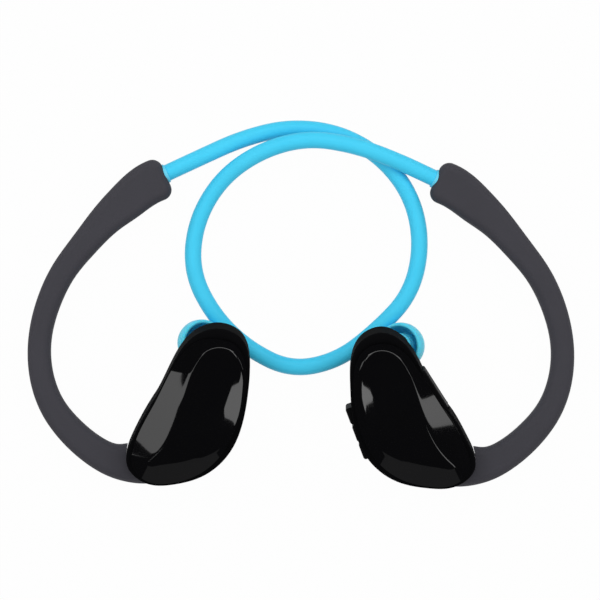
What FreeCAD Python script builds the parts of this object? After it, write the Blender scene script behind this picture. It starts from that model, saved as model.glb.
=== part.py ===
"""Wireless sports headset: two glossy pods on ear hooks, joined behind the neck by a silicone band.

Millimetres, +Z up, +X to the wearer's right-hand pod as it lies on a table with its covers up.
The pods, hooks and band lie flat; each pod is propped up at its far end by its own ear tip.
"""
import FreeCAD
import Part
import Sketcher
import math
import os
from FreeCAD import Placement, Rotation, Vector

# Driving dimensions, in millimetres and degrees.
SIZES = {
    # how each pod stands
    "pod_x": 29.0, "pod_y": -46.5, "pod_z": 1.6, "pod_tilt": 15.5, "left_lift": 0.8,
    # inner housing and outer cover
    "housing_depth": 8.5, "housing_floor": 1.4, "housing_wall": 1.3, "inner_face_round": 2.6,
    "rim_round": 0.25, "gasket_thickness": 0.4, "gasket_inset": 0.15, "cover_depth": 5.2,
    "cover_wall": 2.0, "cover_roof": 3.1, "cover_round": 2.2, "core_inset": 4.5, "core_roof": 2.2,
    "lip_depth": 1.1, "lip_thickness": 0.8, "fit_clearance": 0.1, "hole_clearance": 0.02,
    # the dome that the cover's top is cut to
    "crown_x": -1.0, "crown_y": 19.0, "crown_radius": 110.0, "crown_reach": 34.0,
    # nozzle and ear tip
    "nozzle_x": -4.9, "nozzle_y": 36.9, "nozzle_sunk": 1.0, "nozzle_base_radius": 4.2,
    "nozzle_seat_radius": 3.2, "nozzle_seat": 3.0, "nozzle_radius": 2.5, "nozzle_length": 9.6,
    "nozzle_bore": 1.6, "tip_gap": 3.6, "tip_radius": 6.2, "tip_length": 7.5, "tip_wall": 0.6,
    "tip_core_wall": 0.8, "tip_clearance": 0.05, "tip_end_radius": 3.1, "tip_lip": 0.15,
    "mesh_radius": 2.0, "mesh_thickness": 0.3,
    # loudspeaker
    "driver_x": -6.8, "driver_y": 33.5, "driver_radius": 5.0, "driver_height": 2.6,
    "driver_foam": 0.5, "driver_foam_width": 0.9, "driver_wall": 0.5, "magnet_radius": 3.0,
    "magnet_hole": 1.2, "magnet_height": 1.2, "diaphragm_thickness": 0.2, "diaphragm_rise": 0.3,
    # ear hook
    "hook_thickness": 7.0, "hook_edge_round": 2.2, "hook_corner_round": 2.8, "seam_gap": 0.1,
    "tang_width": 5.0, "tang_height": 3.6, "tang_length": 9.0, "tang_z": 4.7, "left_hook_turn": 0.1,
    # neckband and what runs in it
    "band_diameter": 4.4, "band_bore": 2.4, "wire_diameter": 0.8, "cable_diameter": 1.0,
    "wire_offset": 0.5, "wire_way_radius": 1.5, "collar_length": 1.2, "collar_wall": 0.35,
    "collar_proud": 0.5, "collar_clearance": 0.05,
    # charging port, with its cover hinged at the lower end
    "port_length": 12.6, "port_width": 4.8, "port_proud": 1.0, "port_recess": 0.6, "port_z": 5.5,
    "port_margin": 0.2, "port_hinge_room": 0.4, "port_lift": 0.1, "port_edge_round": 0.5,
    "plug_length": 6.6, "plug_width": 1.6, "plug_depth": 1.6, "plug_root": 0.3, "plug_gap": 0.3,
    "socket_length": 7.6, "socket_width": 2.6, "socket_depth": 5.0, "socket_wall": 0.4,
    "socket_back": 1.5, "socket_clearance": 0.1,
    # control keys
    "key_length": 4.6, "key_width": 4.4, "key_height": 2.0, "key_gap": 0.5, "key_z": 5.3,
    "key_lift": 0.6, "key_round": 0.7, "stem_length": 2.6, "stem_width": 1.8, "stem_depth": 2.6,
    "stem_root": 0.5, "stem_clearance": 0.15, "key_margin": 0.4, "switch_length": 3.2,
    "switch_depth": 2.0, "switch_height": 2.0, "switch_gap": 0.5,
    # circuit board and what stands on it
    "board_thickness": 0.8, "board_z": 3.4, "board_inset": 0.6, "board_top": 28.0,
    "board_corner_x": 5.0, "board_corner_y": 7.0, "board_turn": 20.0, "board_hole_clearance": 0.1,
    "boss_radius": 1.6, "screw_radius": 0.7, "screw_head_radius": 1.2, "screw_head_height": 0.7,
    "screw_length": 2.4, "screw_room": 0.2, "screw_upper_x": -4.5, "screw_upper_y": 25.5,
    "screw_lower_x": 7.6, "screw_lower_y": 9.4, "can_x": -0.5, "can_y": 11.5, "can_length": 9.0,
    "can_width": 8.0, "can_height": 1.4, "can_round": 0.3, "microphone_x": 5.5,
    "microphone_y": 13.2, "microphone_length": 2.6, "microphone_width": 1.8,
    "microphone_height": 1.0,
    # status light
    "light_below_port": 2.6, "light_z": 5.0, "light_inset": 4.6, "light_radius": 0.6,
    "light_start": 0.6, "light_length": 3.0, "lamp_length": 1.6, "lamp_height": 1.6,
    "lamp_depth": 0.8,
    # battery
    "battery_aside": 0.75, "battery_gap": 0.75, "battery_turn": -20.5, "battery_width": 12.0,
    "battery_length": 18.0, "battery_height": 5.0, "battery_round": 0.8, "foam_thickness": 0.6,
    "foam_margin": 0.5, "protection_width": 8.0, "protection_length": 12.0,
    "protection_thickness": 0.8,
}

# Outline of a pod seen from its cover side, anticlockwise: x, y, how far the cover stops short of it,
# and how much fuller the left pod is there.
POD_OUTLINE = [
    (8.3, 23.4, 0.45, 1.3), (2.0, 34.1, 0.6, 2.1), (-2.0, 40.0, 1.5, 1.5), (-7.3, 42.9, 2.5, 0.3),
    (-13.6, 40.3, 2.0, 0.0), (-15.9, 34.7, 1.1, -0.4), (-16.1, 27.1, 0.8, -0.8), (-15.2, 17.7, 1.5, -1.4),
    (-11.8, 8.9, 2.1, -1.5), (-4.1, 2.3, 1.9, -0.9), (4.6, 0.3, 1.4, -0.2), (12.0, 0.9, 1.5, 0.0),
    (16.8, 5.8, 1.6, 0.0), (14.9, 12.9, 0.9, 0.5),
]

# Middle line of the right ear hook from its tail to the pod, with the hook's width at each station.
HOOK_STATIONS = [
    (35.3, 32.8, 11.3), (42.0, 29.9, 11.0), (46.4, 26.2, 10.2), (50.9, 22.2, 8.8), (57.3, 15.0, 7.3),
    (62.4, 8.4, 6.7), (66.5, 0.1, 6.4), (69.0, -10.5, 6.1), (68.2, -21.1, 6.4), (65.6, -27.8, 6.8),
    (61.1, -33.8, 7.4), (54.6, -39.4, 8.0), (49.6, -41.9, 8.9), (45.4, -42.5, 10.4),
    (40.6, -42.8, 10.6), (35.5, -42.0, 9.4),
]
# Where the hook's tang enters the pod: the middle of its tang lies halfway along this line.
TANG_LINE = ((48.5, -42.5), (42.1, -44.2))
HOOK_PIVOT = (50.0, -42.0)

# Route of the neckband, from inside the left hook's tail to inside the right one's.
BAND_ROUTE = [
    (-45.1, 30.4, 3.5), (-39.2, 33.0, 3.5), (-27.5, 38.5, 2.75), (-15.5, 44.0, 2.25), (-3.0, 47.0, 2.25),
    (10.0, 45.5, 2.25), (21.5, 39.0, 2.25), (29.5, 28.5, 2.25), (32.0, 15.5, 2.25), (29.0, 2.5, 2.25),
    (19.8, -7.1, 2.25), (9.8, -14.8, 2.25), (-2.5, -17.4, 2.25), (-13.9, -11.9, 2.25), (-23.0, -3.2, 2.25),
    (-29.0, 8.5, 2.25), (-28.0, 21.5, 2.25), (-21.5, 33.0, 3.25), (-11.0, 40.5, 6.75), (1.5, 44.0, 7.5),
    (14.5, 42.0, 7.5), (26.5, 37.5, 5.25), (38.0, 32.0, 3.5), (44.0, 29.5, 3.5),
]
# The wires go on from there along the right hook and end in the pod; the left side mirrors it.
HOOK_ROUTE = [
    (52.5, 21.2, 3.5), (61.0, 11.0, 3.5), (67.0, -0.5, 3.5), (69.8, -13.0, 3.6), (67.2, -26.0, 3.9),
    (59.5, -36.0, 4.3), (50.0, -42.2, 4.7), (41.5, -44.0, 4.9), (36.0, -42.0, 5.8),
]

DOC = FreeCAD.newDocument("sports_headset")
PIECES = {}


class Length:
    """A size that keeps its number together with the spreadsheet formula it comes from."""

    def __init__(self, number, text=None):
        self.number = float(number)
        self.text = text if text is not None else repr(self.number)

    def joined(self, sign, other, number):
        right = other if isinstance(other, Length) else Length(other)
        return Length(number(self.number, right.number), f"({self.text} {sign} {right.text})")

    def __add__(self, other):
        return self.joined("+", other, lambda a, b: a + b)

    def __sub__(self, other):
        return self.joined("-", other, lambda a, b: a - b)

    def __mul__(self, other):
        return self.joined("*", other, lambda a, b: a * b)

    def __truediv__(self, other):
        return self.joined("/", other, lambda a, b: a / b)

    def __neg__(self):
        return Length(-self.number, f"(-{self.text})")

    def __float__(self):
        return self.number


def build_sheet():
    """Write every driving dimension to the spreadsheet under its own alias."""
    sheet = DOC.addObject("Spreadsheet::Sheet", "sizes")
    for row, (alias, number) in enumerate(SIZES.items(), start=1):
        sheet.set(f"A{row}", alias)
        sheet.set(f"B{row}", str(number))
        sheet.setAlias(f"B{row}", alias)
    DOC.recompute()


def size(alias):
    """The named driving dimension, as a Length bound to its cell."""
    return Length(SIZES[alias], f"sizes.{alias}")


def as_length(value):
    return value if isinstance(value, Length) else Length(value)


def at(x=0.0, y=0.0, z=0.0):
    return Placement(Vector(float(x), float(y), float(z)), Rotation())


def turn_z(degrees):
    return Placement(Vector(), Rotation(Vector(0, 0, 1), degrees))


def keep(node, piece):
    """Name a finished piece, so that it is checked and written as a node."""
    piece.Label = node
    PIECES[node] = piece
    return piece


# ---------------------------------------------------------------- sketch and feature helpers

def new_body(name, placement=None):
    body = DOC.addObject("PartDesign::Body", name)
    body.Placement = placement or Placement()
    return body


def new_sketch(body, role="XY_Plane", height=0.0, aside=0.0):
    """A sketch on one of the body's own origin planes, raised by height and moved aside along its x."""
    sketch = body.newObject("Sketcher::SketchObject", f"{body.Name}_sketch")
    plane = next(f for f in body.Origin.OriginFeatures if f.Role == role)
    sketch.AttachmentSupport = [(plane, "")]
    sketch.MapMode = "FlatFace"
    sketch.setExpression("AttachmentOffset.Base.z", as_length(height).text)
    sketch.setExpression("AttachmentOffset.Base.x", as_length(aside).text)
    return sketch


def fix_point(sketch, index, end, x, y):
    """Hold one point of the sketch at x, y from its origin."""
    for axis, kind, value in ((-2, "DistanceX", as_length(x)), (-1, "DistanceY", as_length(y))):
        if value.number == 0.0:
            sketch.addConstraint(Sketcher.Constraint("PointOnObject", index, end, axis))
        else:
            name = sketch.addConstraint(Sketcher.Constraint(kind, -1, 1, index, end, value.number))
            sketch.setExpression(f"Constraints[{name}]", value.text)


def draw_circle(sketch, radius, x=0.0, y=0.0):
    index = sketch.addGeometry(Part.Circle(Vector(float(x), float(y), 0), Vector(0, 0, 1), float(radius)))
    rule = sketch.addConstraint(Sketcher.Constraint("Radius", index, float(radius)))
    sketch.setExpression(f"Constraints[{rule}]", as_length(radius).text)
    fix_point(sketch, index, 3, x, y)


def draw_corners(sketch, corners):
    """A closed outline of straight lines through corners, each a pair of Lengths."""
    points = [Vector(float(x), float(y), 0) for x, y in corners]
    first = sketch.GeometryCount
    count = len(points)
    for i in range(count):
        sketch.addGeometry(Part.LineSegment(points[i], points[(i + 1) % count]))
    for i in range(count):
        sketch.addConstraint(Sketcher.Constraint("Coincident", first + i, 2, first + (i + 1) % count, 1))
        fix_point(sketch, first + i, 1, *corners[i])


def draw_rectangle(sketch, width, depth):
    """A rectangle centred on the sketch's origin."""
    half_w, half_d = as_length(width) / 2, as_length(depth) / 2
    draw_corners(sketch, [(-half_w, -half_d), (half_w, -half_d), (half_w, half_d), (-half_w, half_d)])


def smooth_curve(points, closed=False):
    curve = Part.BSplineCurve()
    curve.interpolate(Points=[Vector(x, y, 0) for x, y in points], PeriodicFlag=closed)
    return curve


def draw_outline(sketch, points):
    """A closed smooth outline through points."""
    index = sketch.addGeometry(smooth_curve(points, closed=True))
    sketch.addConstraint(Sketcher.Constraint("Block", index))


def draw_profile(sketch, stretches):
    """A closed profile made of stretches: two points make a line, more make a smooth curve."""
    for points in stretches:
        if len(points) == 2:
            piece = Part.LineSegment(*[Vector(x, y, 0) for x, y in points])
        else:
            piece = smooth_curve(points)
        index = sketch.addGeometry(piece)
        sketch.addConstraint(Sketcher.Constraint("Block", index))


def pad(body, sketch, length, down=False):
    feature = body.newObject("PartDesign::Pad", f"{body.Name}_pad")
    feature.Profile = sketch
    feature.Reversed = down
    feature.setExpression("Length", as_length(length).text)
    DOC.recompute()
    return feature


def pocket(body, sketch, depth, up=False):
    """Cut the sketch's outline into the body, downwards unless up is set, and check that it cuts."""
    before = body.Shape.Volume
    feature = body.newObject("PartDesign::Pocket", f"{body.Name}_pocket")
    feature.Profile = sketch
    feature.Reversed = up
    feature.setExpression("Length", as_length(depth).text)
    DOC.recompute()
    if not body.Shape.Volume < before - 1e-6:
        raise RuntimeError(f"{feature.Name} cuts nothing")
    return feature


def revolve(body, sketch, kind="PartDesign::Revolution"):
    """Turn the sketch once around its own vertical axis."""
    feature = body.newObject(kind, f"{body.Name}_turned")
    feature.Profile = sketch
    feature.ReferenceAxis = (sketch, ["V_Axis"])
    feature.Angle = 360
    DOC.recompute()
    return feature


def round_edges(body, wanted, radius):
    """Fillet the edges of the body's last shape for which wanted(edge) is true."""
    base = body.Tip
    names = [f"Edge{i}" for i, edge in enumerate(base.Shape.Edges, start=1) if wanted(edge)]
    feature = body.newObject("PartDesign::Fillet", f"{body.Name}_round")
    feature.Base = (base, names)
    feature.setExpression("Radius", as_length(radius).text)
    DOC.recompute()
    return feature


def edge_height(level):
    """A test for edges that lie wholly at one height."""
    def test(edge):
        box = edge.BoundBox
        return abs(box.ZMin - float(level)) < 0.01 and abs(box.ZMax - float(level)) < 0.01
    return test


def any_edge(_edge):
    return True


def block(name, placement, width, depth, height, edge_round=None, wanted=any_edge):
    """A padded rectangle, centred in x and y, standing on its placement's origin."""
    body = new_body(name, placement)
    sketch = new_sketch(body)
    draw_rectangle(sketch, width, depth)
    pad(body, sketch, height)
    if edge_round is not None:
        round_edges(body, wanted, edge_round)
    return body


def disc(name, placement, radius, height, hole=None):
    """A padded circle, with a round hole through it if one is given."""
    body = new_body(name, placement)
    sketch = new_sketch(body)
    draw_circle(sketch, radius)
    if hole is not None:
        draw_circle(sketch, hole)
    pad(body, sketch, height)
    return body


def turned(name, placement, corners):
    """A solid of revolution about its own z axis, from corners of radius and height."""
    body = new_body(name, placement)
    sketch = new_sketch(body, "XZ_Plane")
    draw_corners(sketch, corners)
    revolve(body, sketch)
    return body


def box_tool(name, placement, width, depth, height):
    """A plain box for cutting, centred on its placement in x, y and z."""
    tool = DOC.addObject("Part::Box", name)
    for key, value in (("Length", width), ("Width", depth), ("Height", height)):
        tool.setExpression(key, as_length(value).text)
    tool.Placement = placement * at(-float(width) / 2, -float(depth) / 2, -float(height) / 2)
    return tool


def rod_tool(name, placement, radius, height):
    """A plain cylinder along its placement's z axis."""
    tool = DOC.addObject("Part::Cylinder", name)
    tool.setExpression("Radius", as_length(radius).text)
    tool.setExpression("Height", as_length(height).text)
    tool.Placement = placement
    return tool


def join(name, shapes):
    result = DOC.addObject("Part::MultiFuse", name)
    result.Shapes = shapes
    result.Refine = False
    DOC.recompute()
    return result


def cut(name, base, tools):
    """Base less each of the tools in turn, every one checked to take something away."""
    for tool in tools:
        result = DOC.addObject("Part::Cut", f"{name}_{tool.Name}")
        result.Base = base
        result.Tool = tool
        result.Refine = False
        DOC.recompute()
        if not result.Shape.Volume < base.Shape.Volume - 1e-6:
            raise RuntimeError(f"{tool.Name} takes nothing from {name}")
        base = result
    return base


# ---------------------------------------------------------------- outlines and routes

def normals(points, closed):
    """Unit normals to the left of a line of points, from each point's neighbours."""
    count = len(points)
    result = []
    for i in range(count):
        before = points[i - 1] if closed or i > 0 else points[0]
        after = points[(i + 1) % count] if closed or i < count - 1 else points[-1]
        dx, dy = after[0] - before[0], after[1] - before[1]
        span = math.hypot(dx, dy)
        result.append((-dy / span, dx / span))
    return result


def pod_outline(side, inset=0.0, under_cover=True):
    """The pod's outline moved inwards, from the cover's edge or from the housing's own edge."""
    ring = [(x, y) for x, y, _, _ in POD_OUTLINE]
    moved = []
    for (x, y, reveal, fuller), (nx, ny) in zip(POD_OUTLINE, normals(ring, closed=True)):
        shift = float(inset) + (reveal if under_cover else 0.0) - (fuller if side < 0 else 0.0)
        moved.append((side * (x + nx * shift), y + ny * shift))
    return moved


def left_hook_point(x, y, z=None):
    """Where a point of the right hook lies on the left one, which is mirrored, lifted and a little turned."""
    angle = math.radians(SIZES["left_hook_turn"])
    pivot_x, pivot_y = -HOOK_PIVOT[0], HOOK_PIVOT[1] + SIZES["left_lift"]
    dx, dy = -x - pivot_x, y + SIZES["left_lift"] - pivot_y
    turned_x = pivot_x + dx * math.cos(angle) - dy * math.sin(angle)
    turned_y = pivot_y + dx * math.sin(angle) + dy * math.cos(angle)
    return (turned_x, turned_y) if z is None else (turned_x, turned_y, z)


def hook_stations(side):
    """The hook's middle line and half widths on that side."""
    stations = []
    for x, y, width in HOOK_STATIONS:
        place = (x, y) if side > 0 else left_hook_point(x, y)
        stations.append((*place, width / 2))
    return stations


def rounded_route(points):
    """A wire of straight runs joined by tangent arcs, each as large as its two runs allow."""
    share = 0.45
    corners = [Vector(*p) for p in points]
    edges, radii = [], []
    start = corners[0]
    for before, corner, after in zip(corners, corners[1:], corners[2:]):
        back, ahead = before - corner, after - corner
        reach = share * min(back.Length, ahead.Length)
        half_turn = (math.pi - back.getAngle(ahead)) / 2
        radius = reach / math.tan(half_turn)
        back.normalize()
        ahead.normalize()
        enter, leave = corner + back * reach, corner + ahead * reach
        inwards = (back + ahead).normalize()
        middle = corner + inwards * (radius / math.cos(half_turn) - radius)
        edges.append(Part.LineSegment(start, enter).toShape())
        edges.append(Part.Arc(enter, middle, leave).toShape())
        radii.append(radius)
        start = leave
    edges.append(Part.LineSegment(start, corners[-1]).toShape())
    return Part.Wire(edges), radii


def pipe_shape(points, radius):
    """A solid rod along the rounded route through points."""
    wire, _ = rounded_route(points)
    start = Vector(*points[0])
    ring = Part.Circle(start, Vector(*points[1]) - start, float(radius)).toShape()
    return wire.makePipe(Part.Face(Part.Wire(ring)))


def pipe(name, points, radius, label_length=False):
    """A rod along a route as an object of the document, with its volume checked against its length."""
    feature = DOC.addObject("Part::Feature", name)
    feature.Shape = pipe_shape(points, radius)
    wire, radii = rounded_route(points)
    expected = math.pi * float(radius) ** 2 * wire.Length
    if abs(feature.Shape.Volume - expected) > 0.01 * expected:
        raise RuntimeError(f"{name} has volume {feature.Shape.Volume:.1f}, not {expected:.1f}")
    if label_length:
        print(f"{name}: length {wire.Length:.1f} mm, smallest radius {min(radii):.1f} mm")
    return feature


def raised(points, lift):
    return [(x, y, z + float(lift)) for x, y, z in points]


def wire_route():
    """The whole way of the wires: left pod, left hook, band, right hook, right pod."""
    left = [left_hook_point(*p) for p in reversed(HOOK_ROUTE)]
    return left + BAND_ROUTE + HOOK_ROUTE


# ---------------------------------------------------------------- where the frames are

def pod_frame(side):
    """The pod's own frame: y up along the pod, z from the inner face to the cover."""
    lift = 0.0 if side > 0 else SIZES["left_lift"]
    place = Vector(side * SIZES["pod_x"], SIZES["pod_y"] + lift, SIZES["pod_z"])
    return Placement(place, Rotation(Vector(1, 0, 0), SIZES["pod_tilt"]))


def nozzle_frame(side):
    """On the inner face at the nozzle, with z pointing out along the nozzle towards the ear."""
    out = Vector(side * 0.42, -0.242, -0.8745)
    base = Vector(side * SIZES["nozzle_x"], SIZES["nozzle_y"], 0)
    return pod_frame(side) * Placement(base, Rotation(Vector(0, 0, 1), out))


def wall_frame(start, end, z, depth=0.0):
    """On the right pod's side wall: x from start to end along the wall, y outwards, z to the cover."""
    middle = ((start[0] + end[0]) / 2, (start[1] + end[1]) / 2)
    angle = math.degrees(math.atan2(end[1] - start[1], end[0] - start[0]))
    return pod_frame(1) * at(*middle, z) * turn_z(angle) * at(0, -float(depth), 0)


# The two strips on the right pod's side wall, by the ends of their outer faces.
PORT_ENDS = ((10.2, 21.5), (3.1, 33.0))
KEY_ENDS = ((-17.9, 23.0), (-12.0, 6.7))


def port_frame():
    """On the floor of the recess that the charging port's cover lies in."""
    end, start = PORT_ENDS
    return wall_frame(start, end, SIZES["port_z"], SIZES["port_proud"] + SIZES["port_recess"])


def key_frame():
    """On the floor of the recess under the three keys; x runs up along the wall."""
    start, end = KEY_ENDS
    return wall_frame(end, start, SIZES["key_z"], SIZES["key_height"] + SIZES["key_lift"])


def key_places():
    """The three keys' middles along the strip."""
    pitch = SIZES["key_length"] + SIZES["key_gap"]
    return {"volume_up_key": pitch, "multi_function_key": 0.0, "volume_down_key": -pitch}


# Where the two screws hold the circuit board, in the pod's frame.
BOARD_SCREWS = tuple((SIZES[f"screw_{end}_x"], SIZES[f"screw_{end}_y"]) for end in ("upper", "lower"))


# ---------------------------------------------------------------- housing and cover

def housing_blank(side, name):
    """The inner housing before its nozzle and cut-outs: outline, soft inner edge, cavity."""
    body = new_body(f"{name}_blank", pod_frame(side))
    outline = new_sketch(body)
    draw_outline(outline, pod_outline(side, under_cover=False))
    pad(body, outline, size("housing_depth"))
    round_edges(body, edge_height(0), size("inner_face_round"))
    round_edges(body, edge_height(size("housing_depth")), size("rim_round"))
    cavity = new_sketch(body, height=size("housing_depth"))
    draw_outline(cavity, pod_outline(side, size("housing_wall")))
    pocket(body, cavity, size("housing_depth") - size("housing_floor"))
    return body


def nozzle_parts(side, name):
    """The nozzle's cone and barrel, and the bore and mesh seat to be cut through it."""
    frame = nozzle_frame(side)
    sunk = size("nozzle_sunk")
    solid = turned(f"{name}_nozzle", frame, [
        (0, -sunk), (size("nozzle_base_radius"), -sunk),
        (size("nozzle_seat_radius"), size("nozzle_seat")), (size("nozzle_radius"), size("nozzle_seat")),
        (size("nozzle_radius"), size("nozzle_length")), (0, size("nozzle_length")),
    ])
    # the sunk end of the tilted cone must not stand up out of the housing's floor
    floor = pod_frame(side) * at(side * SIZES["nozzle_x"], SIZES["nozzle_y"], SIZES["housing_floor"])
    inside = rod_tool(f"{name}_inside", floor, size("nozzle_base_radius") * 2, size("housing_depth"))
    barrel = cut(f"{name}_barrel", solid, [inside])
    reach = size("housing_floor") * 3
    bore = rod_tool(f"{name}_bore", frame * at(z=-float(reach)), size("nozzle_bore"),
                    size("nozzle_length") + reach * 2)
    seat = rod_tool(f"{name}_mesh_seat", frame * at(z=size("nozzle_length") - size("mesh_thickness")),
                    size("mesh_radius") + size("hole_clearance"), size("mesh_thickness") * 2)
    return barrel, [bore, seat]


def hook_socket(side, name, clearance=Length(0)):
    """The tang's own room: through the housing's wall, along the hook's last stretch."""
    start, end = TANG_LINE
    angle = math.degrees(math.atan2(end[1] - start[1], end[0] - start[0]))
    if side < 0:
        start, end = left_hook_point(*start), left_hook_point(*end)
        angle = 180.0 - angle + SIZES["left_hook_turn"]
    middle_x, middle_y = (start[0] + end[0]) / 2, (start[1] + end[1]) / 2
    frame = at(middle_x, middle_y, SIZES["tang_z"]) * turn_z(angle)
    grow = clearance * 2
    return box_tool(name, frame, size("tang_length") + grow, size("tang_width") + grow,
                    size("tang_height") + grow)


def build_inner_housing(side, name):
    """The matte shell against the ear, with its nozzle; the right one also holds keys and charging port."""
    blank = housing_blank(side, name)
    barrel, holes = nozzle_parts(side, name)
    added = [blank, barrel]
    holes.append(hook_socket(side, f"{name}_socket", size("fit_clearance")))
    holes.append(wire_way(side, f"{name}_wire_way"))
    if side > 0:
        added += board_bosses(name)
        holes += key_openings(name) + port_openings(name)
        light_radius = size("light_radius") + size("hole_clearance")
        holes.append(rod_tool(f"{name}_light_hole", light_frame(), light_radius, size("light_length") * 2))
        holes += boss_holes(name)
    keep(name, cut(f"{name}_cut", join(f"{name}_joined", added), holes))


def wire_way(side, name):
    """The hole through which the wires leave the hook's tang for the inside of the pod."""
    ends = HOOK_ROUTE[-2:] if side > 0 else [left_hook_point(*p) for p in HOOK_ROUTE[-2:]]
    start, end = Vector(*ends[0]), Vector(*ends[1])
    frame = Placement(start, Rotation(Vector(0, 0, 1), end - start))
    return rod_tool(name, frame, size("wire_way_radius"), (end - start).Length)


def board_bosses(name):
    """Short posts on the housing's floor that the circuit board is screwed to."""
    height = size("board_z") - size("housing_floor")
    floor = pod_frame(1) * at(z=SIZES["housing_floor"])
    return [disc(f"{name}_boss_{i}", floor * at(x, y), size("boss_radius"), height)
            for i, (x, y) in enumerate(BOARD_SCREWS)]


def boss_holes(name):
    """Screw holes in the posts, as deep as the screws with a little room."""
    depth = size("screw_length") - size("board_thickness") + size("screw_room")
    bottom = pod_frame(1) * at(z=size("board_z") - depth)
    radius = size("screw_radius") + size("hole_clearance")
    return [rod_tool(f"{name}_boss_hole_{i}", bottom * at(x, y), radius, depth * 2)
            for i, (x, y) in enumerate(BOARD_SCREWS)]


def key_openings(name):
    """The recess under the keys and one window through the wall for each key's stem."""
    frame = key_frame()
    pitch = size("key_length") + size("key_gap")
    margin = size("key_margin") * 2
    deep = size("key_height") * 2
    recess = box_tool(f"{name}_key_recess", frame * at(y=deep / 2), pitch * 3 + margin, deep,
                      size("key_width") + margin)
    gap = size("stem_clearance") * 2
    through = size("stem_depth") * 2
    windows = [box_tool(f"{name}_key_window_{i}", frame * at(x, -through.number / 2, 0),
                        size("stem_length") + gap, through + size("stem_root"), size("stem_width") + gap)
               for i, x in enumerate(key_places().values())]
    return [recess] + windows


def port_openings(name):
    """The shallow recess for the port's cover and the window to the socket behind it."""
    frame = port_frame()
    margin, hinge_room = size("port_margin"), size("port_hinge_room")
    deep = size("port_proud") * 4
    middle = (hinge_room - margin) / 2
    recess = box_tool(f"{name}_port_recess", frame * at(x=middle, y=deep / 2),
                      size("port_length") + margin + hinge_room, deep, size("port_width") + margin * 2)
    gap = size("socket_clearance") * 2
    through = size("socket_depth")
    window = box_tool(f"{name}_port_window", frame * at(y=-through.number / 2), size("socket_length") + gap,
                      through + size("port_lift"), size("socket_width") + gap)
    return [recess, window]


def cover_base():
    """Height of the cover's lower edge in the pod's frame."""
    return size("housing_depth") + size("gasket_thickness")


def build_outer_cover(side, name):
    """The glossy shell: crowned top, soft shoulder, hollow inside, and a lip that enters the housing."""
    body = new_body(name, pod_frame(side))
    outline = new_sketch(body, height=cover_base())
    draw_outline(outline, pod_outline(side))
    pad(body, outline, size("cover_depth"))
    crown_cut(body, side)
    above_base = float(cover_base()) + SIZES["rim_round"]
    round_edges(body, lambda edge: edge.BoundBox.ZMin > above_base, size("cover_round"))
    hollow = new_sketch(body, height=cover_base())
    draw_outline(hollow, pod_outline(side, size("cover_wall")))
    pocket(body, hollow, size("cover_depth") - size("cover_roof"), up=True)
    core = new_sketch(body, height=cover_base())
    draw_outline(core, pod_outline(side, size("core_inset")))
    pocket(body, core, size("cover_depth") - size("core_roof"), up=True)
    lip = new_sketch(body, height=cover_base())
    lip_outside = size("housing_wall") + size("fit_clearance")
    draw_outline(lip, pod_outline(side, lip_outside))
    draw_outline(lip, pod_outline(side, lip_outside + size("lip_thickness")))
    pad(body, lip, size("lip_depth") + size("gasket_thickness"), down=True)
    keep(name, body)


def crown_cut(body, side):
    """Take the flat top off along a shallow dome of the crown's radius."""
    sketch = new_sketch(body, "XZ_Plane", height=-size("crown_y"), aside=size("crown_x") * side)
    radius, reach = SIZES["crown_radius"], SIZES["crown_reach"]
    top = float(cover_base() + size("cover_depth"))
    rim = top - radius + math.sqrt(radius ** 2 - reach ** 2)
    half = top - radius + math.sqrt(radius ** 2 - (reach / 2) ** 2)
    above = top + SIZES["cover_round"]
    sketch.addGeometry(Part.Arc(Vector(0, top, 0), Vector(reach / 2, half, 0), Vector(reach, rim, 0)))
    for start, end in (((reach, rim), (reach, above)), ((reach, above), (0, above)), ((0, above), (0, top))):
        sketch.addGeometry(Part.LineSegment(Vector(*start, 0), Vector(*end, 0)))
    for index in range(sketch.GeometryCount):
        sketch.addConstraint(Sketcher.Constraint("Block", index))
    before = body.Shape.Volume
    revolve(body, sketch, "PartDesign::Groove")
    if not body.Shape.Volume < before:
        raise RuntimeError("the crown cuts nothing")


def build_cover_gasket(side, name):
    """The thin rubber seal between housing and cover."""
    body = new_body(name, pod_frame(side))
    sketch = new_sketch(body, height=size("housing_depth"))
    draw_outline(sketch, pod_outline(side, size("gasket_inset")))
    draw_outline(sketch, pod_outline(side, size("housing_wall")))
    pad(body, sketch, size("gasket_thickness"))
    keep(name, body)


# ---------------------------------------------------------------- ear tip and loudspeaker

def build_ear_tip(side, name):
    """The silicone mushroom: a core on the nozzle and a thin umbrella that turns back over it."""
    body = new_body(name, nozzle_frame(side) * at(z=SIZES["tip_gap"]))
    sketch = new_sketch(body, "XZ_Plane")
    rim, length, wall = SIZES["tip_radius"], SIZES["tip_length"], SIZES["tip_wall"]
    bore = SIZES["nozzle_radius"] + SIZES["tip_clearance"]
    core = bore + SIZES["tip_core_wall"]
    end = SIZES["tip_end_radius"]
    lip = rim - SIZES["tip_lip"]
    # shares of the rim's radius at shares of the length
    outside = [(lip, 0.0), (rim, 0.25 * length), (0.95 * rim, 0.5 * length), (0.82 * rim, 0.75 * length),
               (0.645 * rim, 0.93 * length), (end, length)]
    inside = [(core, length - 1.5 * wall), (0.74 * rim - wall, 0.72 * length),
              (0.9 * rim - wall, 0.5 * length), (rim - wall, 0.22 * length), (lip - wall, 0.0)]
    draw_profile(sketch, [
        outside, [(end, length), (bore, length)], [(bore, length), (bore, 0.0)], [(bore, 0.0), (core, 0.0)],
        [(core, 0.0), inside[0]], inside, [inside[-1], (lip, 0.0)],
    ])
    revolve(body, sketch)
    keep(name, body)


def build_nozzle_mesh(side, name):
    place = nozzle_frame(side) * at(z=size("nozzle_length") - size("mesh_thickness"))
    keep(name, disc(name, place, size("mesh_radius"), size("mesh_thickness")))


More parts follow.
